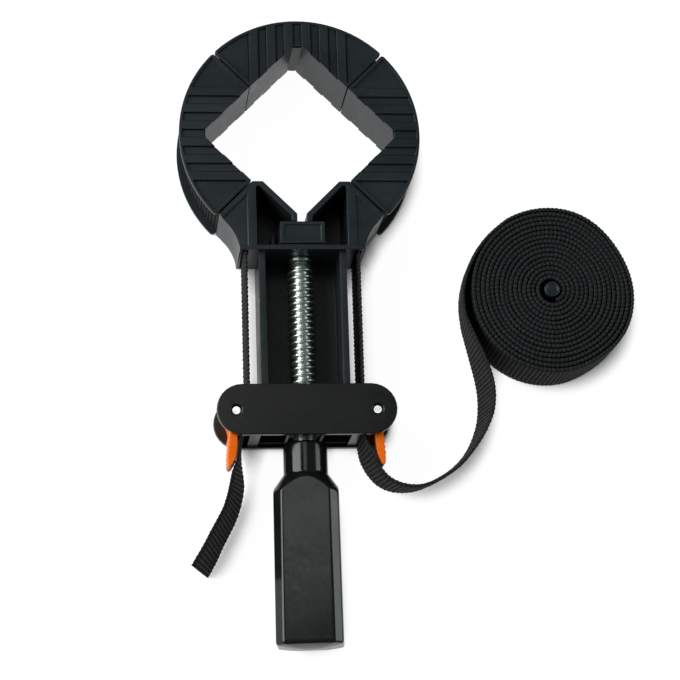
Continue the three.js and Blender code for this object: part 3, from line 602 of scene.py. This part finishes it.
# ------------------------------------------------------------------ screw
def screw_mesh():
    pitch, root, crest = 2.7, 3.8, 5.3
    top, bottom = -52.2 + RING_Y, -118.0 + RING_Y
    seg = 56
    prof = [(-1.35, root), (-0.78, root), (-0.66, root + 0.07), (-0.36, crest - 0.12), (-0.29, crest - 0.03), (-0.20, crest),
            (0.20, crest), (0.29, crest - 0.03), (0.36, crest - 0.12), (0.66, root + 0.07), (0.78, root)]
    m = len(prof)
    turns = int(math.ceil((top - bottom) / pitch)) + 1
    cols = turns * seg + 1
    v = np.zeros((cols, m + 1, 3))
    for k in range(cols):
        a = 2 * math.pi * k / seg
        yb = bottom - pitch / 2 + pitch * k / seg
        for j in range(m + 1):
            dy, r = prof[j] if j < m else (1.35, root)
            y = yb + dy
            fade = min((top - y) / 1.6, (y - bottom) / 1.6, 1.0)
            r = root + (r - root) * max(0.0, fade)
            y = min(max(y, bottom), top)
            v[k, j] = (r * math.sin(a), y, ZM + r * math.cos(a))
    verts = v.reshape(-1, 3)
    faces = []
    for k in range(cols - 1):
        for j in range(m):
            i0, i1 = k * (m + 1) + j, (k + 1) * (m + 1) + j
            faces.append([i0, i0 + 1, i1 + 1, i1])
    mesh = bpy.data.meshes.new("screw_thread")
    mesh.from_pydata((verts * MM).tolist(), [], faces)
    bm = bmesh.new()
    bm.from_mesh(mesh)

    def tube(profile, n=56):
        ring_ = []
        for r, y in profile:
            ring_.append([bm.verts.new((r * math.sin(2 * math.pi * i / n) * MM, (y + RING_Y) * MM, (ZM + r * math.cos(2 * math.pi * i / n)) * MM)) for i in range(n)])
        for a, b in zip(ring_, ring_[1:]):
            for i in range(n):
                bm.faces.new([a[i], a[(i + 1) % n], b[(i + 1) % n], b[i]])
        bm.faces.new(ring_[0][::-1])
        bm.faces.new(ring_[-1])

    tube([(3.0, -41.2), (3.2, -41.4), (3.2, -50.3), (3.3, -50.5), (4.5, -51.8), (4.6, -52.3), (3.75, -53.0), (3.75, -117.5), (4.2, -118.0), (4.4, -118.5), (4.4, -144.7), (4.1, -145.0)])
    bmesh.ops.remove_doubles(bm, verts=bm.verts, dist=0.002 * MM)
    bmesh.ops.recalc_face_normals(bm, faces=bm.faces)
    smooth_by_angle(bm, 34)
    bm.to_mesh(mesh)
    bm.free()
    return mesh


screw = new_object("screw_thread", screw_mesh(), "zinc_steel", body="spindle")
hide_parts("screw")
finish_normals(screw)


# ------------------------------------------------------------------ handle
def handle_mesh():
    n = 256
    turn = math.radians(7)
    top, bottom, neck_r, cone_y = -125.4, -207.0, 8.8, -137.8
    side_w, face_w, corner_w = (12.85, 13.15), (10.3, 10.6), (19.75, 20.6)
    rim_y = bottom + 1.3                                     # where the rounded side ends and the domed end begins
    ang = np.arange(n) / n * 2 * math.pi

    def at_y(pair, y):
        return pair[0] + (pair[1] - pair[0]) * np.clip((cone_y - y) / (cone_y - bottom), 0, 1)

    def soft_min(values, k=7.0):
        a = np.stack(values)
        low_ = a.min(axis=0)
        return low_ - np.log(np.exp(-(a - low_) * k).sum(axis=0)) / k

    rows, ys = [], []
    y_list = list(np.concatenate([
        [top], top - 0.12 * np.arange(1, 8), np.linspace(-127.0, -137.0, 10), np.linspace(-137.2, -138.2, 9),
        np.linspace(-138.3, -148.0, 84), np.linspace(-149.5, -203.5, 33),
        -204.2 - (-204.2 - rim_y) * np.sin(np.linspace(0.0, math.pi / 2, 16))]))
    for y in y_list:
        parts = []
        for q in range(4):                                   # front, side, back, side, and the chamfers between them
            h = at_y(face_w if q % 2 == 0 else side_w, y)
            d = (ang - q * math.pi / 2 + math.pi) % (2 * math.pi) - math.pi
            c = np.cos(d)
            parts.append(np.where(c > 0.15, h / np.maximum(c, 0.15), 60.0))
            d = (ang - (q + 0.5) * math.pi / 2 + math.pi) % (2 * math.pi) - math.pi
            c = np.cos(d)
            parts.append(np.where(c > 0.15, at_y(corner_w, y) / math.sqrt(2) / np.maximum(c, 0.15), 60.0))
        # the body of revolution: neck, then the cone it turns into
        rev = neck_r if y > cone_y else neck_r + (cone_y - y) * 0.70
        if y > cone_y - 0.6:                                 # small round where the neck meets the cone
            t = np.clip((cone_y + 0.5 - y) / 1.0, 0, 1)
            rev = neck_r + 0.21 * t * t
        parts.append(np.full(n, min(rev, 60.0)))
        r = soft_min(parts)
        if y > top - 0.9:                                    # rounded rim of the neck
            k = (top - y) / 0.9
            r = r - 0.75 * (1 - math.sqrt(max(0.0, 1 - (1 - k) ** 2)))
        if y < -204.2:
            k = (y - rim_y) / (-204.2 - rim_y)
            r = r - 1.1 * (1 - math.sqrt(max(0.0, 1 - (1 - k) ** 2)))
        rows.append(r)
        ys.append(y)
    rows, ys = np.array(rows), np.array(ys)
    a = ang[None] + turn
    pts = np.stack([-rows * np.sin(a), np.broadcast_to(ys[:, None] + RING_Y, rows.shape), ZM + rows * np.cos(a)], -1)
    # the end face: a shallow dome, and the mouth of the neck round the shank
    inner = []
    for k in (0.985, 0.95, 0.9, 0.8, 0.65, 0.45, 0.25, 0.05):
        dy = -1.3 * (1 - k ** 2.2)
        ring_ = pts[-1].copy()
        ring_[:, 0] *= k
        ring_[:, 2] = ZM + (ring_[:, 2] - ZM) * k
        ring_[:, 1] += dy
        inner.append(ring_)
    mouth = []
    for r, y in ((4.7, -145.0), (4.7, -126.0), (5.2, -125.45), (6.6, -125.35)):
        mouth.append(np.stack([-r * np.sin(a[0]), np.full(n, y + RING_Y), ZM + r * np.cos(a[0])], -1))
    pts = np.concatenate([np.array(mouth), pts, np.array(inner)], 0)
    mesh = grid_mesh("handle_grip", pts)
    bm = bmesh.new()
    bm.from_mesh(mesh)
    bmesh.ops.recalc_face_normals(bm, faces=bm.faces)
    smooth_by_angle(bm, 40)
    bm.to_mesh(mesh)
    bm.free()
    return mesh


handle = new_object("handle_grip", handle_mesh(), "gloss_handle", body="spindle")
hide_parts("handle")


# ------------------------------------------------------------------ cam levers
def lever_mesh(mirror):
    pin_x, pin_y, pin_r, z0, z1 = 27.9, -114.4, 1.95, 3.3, 26.3

    def cam_r(a):
        if 0 <= a <= 110:
            return 4.2 - 0.95 * math.sin(math.radians(min(a, 90)))
        if 110 < a < 250:
            return 3.25 + 1.1 * math.sin((a - 110) / 140 * math.pi / 2)
        return 4.35 - 0.15 * ((a - 250) / 110)

    outer = []
    for i in range(5):
        y, x = -7.4 - i * 2.05, -1.98 - i * 0.17
        for k in np.linspace(0, 1, 9)[:-1]:
            outer.append((x - 0.17 * k - 0.52 * math.sin(math.pi * k) ** 0.8, y - 2.05 * k))
    pts = []
    a = 0
    # round the cam from the webbing side over the top to where the arm's outer edge leaves it
    while a <= 175:
        pts.append((cam_r(a) * math.cos(math.radians(a)), cam_r(a) * math.sin(math.radians(a))))
        a += 5
    pts += [(-3.6, -0.8), (-3.1, -2.2), (-2.6, -3.4), (-2.3, -4.5), (-2.15, -5.6)] + outer + [
        (-3.12, -18.4), (-3.15, -19.4), (-3.12, -20.4), (-2.98, -21.0), (-2.7, -21.4), (-2.2, -21.6), (-1.85, -21.45), (-1.55, -21.05), (-1.2, -20.2),
        (-0.45, -18.6), (0.05, -17.0), (0.40, -15.0), (0.65, -13.0), (0.78, -11.5), (0.87, -10.2), (0.95, -9.0), (1.06, -7.4), (1.18, -6.2), (1.45, -4.2)]
    if not mirror:                                           # seen in the photo a little broader than the right one
        pts = [(x + float(np.interp(-y, [4.5, 9.0, 13.0, 18.6, 21.0, 21.5], [0.0, -0.35, 0.15, 0.6, 0.35, 0.1])) if x > -1.9 and y < -5.0 else x, y) for x, y in pts]
    a = 318
    while a < 360:
        pts.append((cam_r(a) * math.cos(math.radians(a)), cam_r(a) * math.sin(math.radians(a))))
        a += 6
    # at rest both arms are swung a little clockwise
    swing = math.radians(-1.0 if mirror else -1.2)

    def placed(x, y, z):
        x = -x if mirror else x
        return ((x * math.cos(swing) - y * math.sin(swing) + (pin_x if mirror else -pin_x)) * MM,
                (x * math.sin(swing) + y * math.cos(swing) + pin_y + RING_Y) * MM, z * MM)

    def underside(y):                                        # behind its thumb part the arm is cut away
        return float(np.interp(-y, [9.2, 11.5, 24.0], [z0, 10.6, 13.0]))

    bm = bmesh.new()
    verts = [bm.verts.new(placed(x, y, underside(y))) for x, y in pts]
    base = bm.faces.new(verts)
    got = bmesh.ops.extrude_face_region(bm, geom=[base])
    for v in got["geom"]:
        if isinstance(v, bmesh.types.BMVert):
            v.co.z = z1 * MM
    bmesh.ops.recalc_face_normals(bm, faces=bm.faces)
    big = [f for f in bm.faces if len(f.verts) > 20]
    rims = list({e for f in big for e in f.edges})
    bmesh.ops.bevel(bm, geom=rims, offset=0.32 * MM, offset_type="OFFSET", segments=3, profile=0.5, affect="EDGES", clamp_overlap=True)
    bmesh.ops.recalc_face_normals(bm, faces=bm.faces)
    bmesh.ops.triangulate(bm, faces=[f for f in bm.faces if len(f.verts) > 20], ngon_method="BEAUTY")
    smooth_by_angle(bm, 42)
    mesh = bpy.data.meshes.new("lever")
    bm.to_mesh(mesh)
    bm.free()
    return mesh


for side, mirror in (("left", False), ("right", True)):
    lever = new_object(side + "_lever", lever_mesh(mirror), "orange_plastic", body=side + "_lever")
    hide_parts(side + "_cam_lever")
    finish_normals(lever)

# ------------------------------------------------------------------ rounded copies of the moulded and turned pieces
def on_rim(e):
    """An edge of the outer rim's front or back face, on one of its two arcs."""
    a, b = e.verts
    if abs(a.co.z - b.co.z) > 1e-6 or abs(abs(a.co.z - ZM * MM) - 14.6 * MM) > 1e-5:
        return False
    ra, rb = (math.hypot(v.co.x, v.co.y - RING_Y * MM) / MM for v in (a, b))
    return ra > 48.7 and rb > 48.7


for jaw in ("top", "left", "right"):
    softened(jaw + "_jaw", jaw + "_jaw_moulding", "black_plastic", width=0.13, rim=(0.32, on_rim))
softened("clamp_body", "body_moulding", "black_plastic", width=0.26)
softened("screw_bearing_block", "bearing_block_moulding", "black_plastic", width=0.22)
softened("nut_housing", "nut_housing_moulding", "black_plastic", width=0.3)
softened("carriage_front_plate", "front_plate_moulding", "plate_plastic", width=0.42, segments=3, angle=35)
softened("carriage_back_plate", "back_plate_moulding", "plate_plastic", width=0.35, segments=2, angle=35)
softened("drive_nut", "drive_nut_block", "dark_steel", width=0.3, angle=35)
softened("thrust_washer", "thrust_washer_ring", "zinc_steel", width=0.12, angle=50)
softened("coil_peg", "peg_moulding", "black_plastic", width=0.2, angle=40)
for side in ("left", "right"):
    pin = softened(side + "_lever_pin", side + "_pin", "zinc_steel", width=0.1, angle=50, look="pin_steel")
    pin_x = 0.0279 if side == "right" else -0.0279
    for v in pin.data.vertices:                              # the end is cut at a slight slant
        if v.co.z > 0.0281:
            v.co.z = 0.02822 + 0.105 * (v.co.x - pin_x)
        elif v.co.z > 0.0276:
            v.co.z += 0.105 * (v.co.x - pin_x)
    for e in pin.data.edges:                                 # and has a crisp rim
        if all(math.hypot(pin.data.vertices[i].co.x - pin_x, pin.data.vertices[i].co.y - (-114.4 + RING_Y) * MM) > 0.0014 for i in e.vertices):
            e.use_edge_sharp = True

# ------------------------------------------------------------------ floor
floor_mesh = bpy.data.meshes.new("floor")
floor_mesh.from_pydata([(-3, -3, 0), (3, -3, 0), (3, 3, 0), (-3, 3, 0)], [], [(0, 1, 2, 3)])
floor = bpy.data.objects.new("floor", floor_mesh)
bpy.context.scene.collection.objects.link(floor)
fl = Nodes("floor_paper")
fl.link(fl.mix(fl.spread(fl.noise(3.0, 3.0), 0.3, 0.7, 0.0, 1.0), (0.15, 0.15, 0.15), (0.16, 0.16, 0.16)), fl.b.inputs["Base Color"])
fl.b.inputs["Emission Color"].default_value = (1.0, 1.0, 1.0, 1)
# painted shadow: the floor's glow is dimmed by ambient occlusion near the object, leaned left so the shade falls to the
# right
near = fl.add("ShaderNodeAmbientOcclusion", samples=16)
near.inputs["Distance"].default_value = 0.0115
lean = fl.add("ShaderNodeCombineXYZ")
for socket, value in zip(lean.inputs, (-0.78, 0.20, 0.60)):
    socket.default_value = value
fl.link(lean.outputs[0], near.inputs["Normal"])
shade = fl.spread(near.outputs["AO"], 0.34, 0.70, 0.0, 1.0)
# inside the ring the painted shadow is left off, so the paper there is evenly bright
centre = fl.add("ShaderNodeVectorMath", operation="DISTANCE")
fl.link(fl.coord, centre.inputs[0])
centre.inputs[1].default_value = (0.0, RING_Y * MM, 0.0)
inside = fl.spread(centre.outputs["Value"], 0.040, 0.043, 1.0, 0.0)
# the floor glows: at 0.97 where the camera sees it, at 0.60 in the light it throws on the object
seen = fl.add("ShaderNodeLightPath").outputs["Is Camera Ray"]
fl.link(fl.math("MULTIPLY", fl.math("MAXIMUM", shade, inside), fl.spread(seen, 0.0, 1.0, 0.60, 0.97)), fl.b.inputs["Emission Strength"])
fl.b.inputs["Roughness"].default_value = 0.9
fl.b.inputs["Specular IOR Level"].default_value = 0.1
floor_mesh.materials.append(fl.m)

# ------------------------------------------------------------------ light
scene = bpy.context.scene
world = bpy.data.worlds.new("studio")
scene.world = world
world.use_nodes = True
wt = world.node_tree
wt.nodes["Background"].inputs["Color"].default_value = (0.95, 1.0, 0.98, 1)
wt.nodes["Background"].inputs["Strength"].default_value = 0.10


def softbox(name, place, target, size_x, size_y, watts, colour=(1, 1, 1)):
    data = bpy.data.lights.new(name, "AREA")
    data.shape = "RECTANGLE"
    data.size, data.size_y = size_x, size_y
    data.energy = watts
    data.color = colour
    obj = bpy.data.objects.new(name, data)
    scene.collection.objects.link(obj)
    obj.location = place
    obj.rotation_mode = "QUATERNION"
    obj.rotation_quaternion = (Vector(target) - Vector(place)).to_track_quat("-Z", "Y")
    return obj


softbox("key", (-1.20, 0.30, 0.68), (0.02, 0.0, 0.0), 1.3, 1.6, 30.0, (1.0, 1.0, 0.99))
softbox("rim", (1.2, -0.05, 0.50), (0.03, -0.04, 0.0), 1.0, 0.80, 6.0, (0.96, 1.0, 0.98))

softbox("overhead", (-0.205, 0.385, 1.6), (0.0, 0.05, 0.0), 0.47, 0.43, 0.75, (1.0, 1.0, 0.98))

scene.view_settings.view_transform = "Standard"
scene.view_settings.look = "None"
scene.view_settings.exposure = 0.0
scene.view_settings.gamma = 1.0
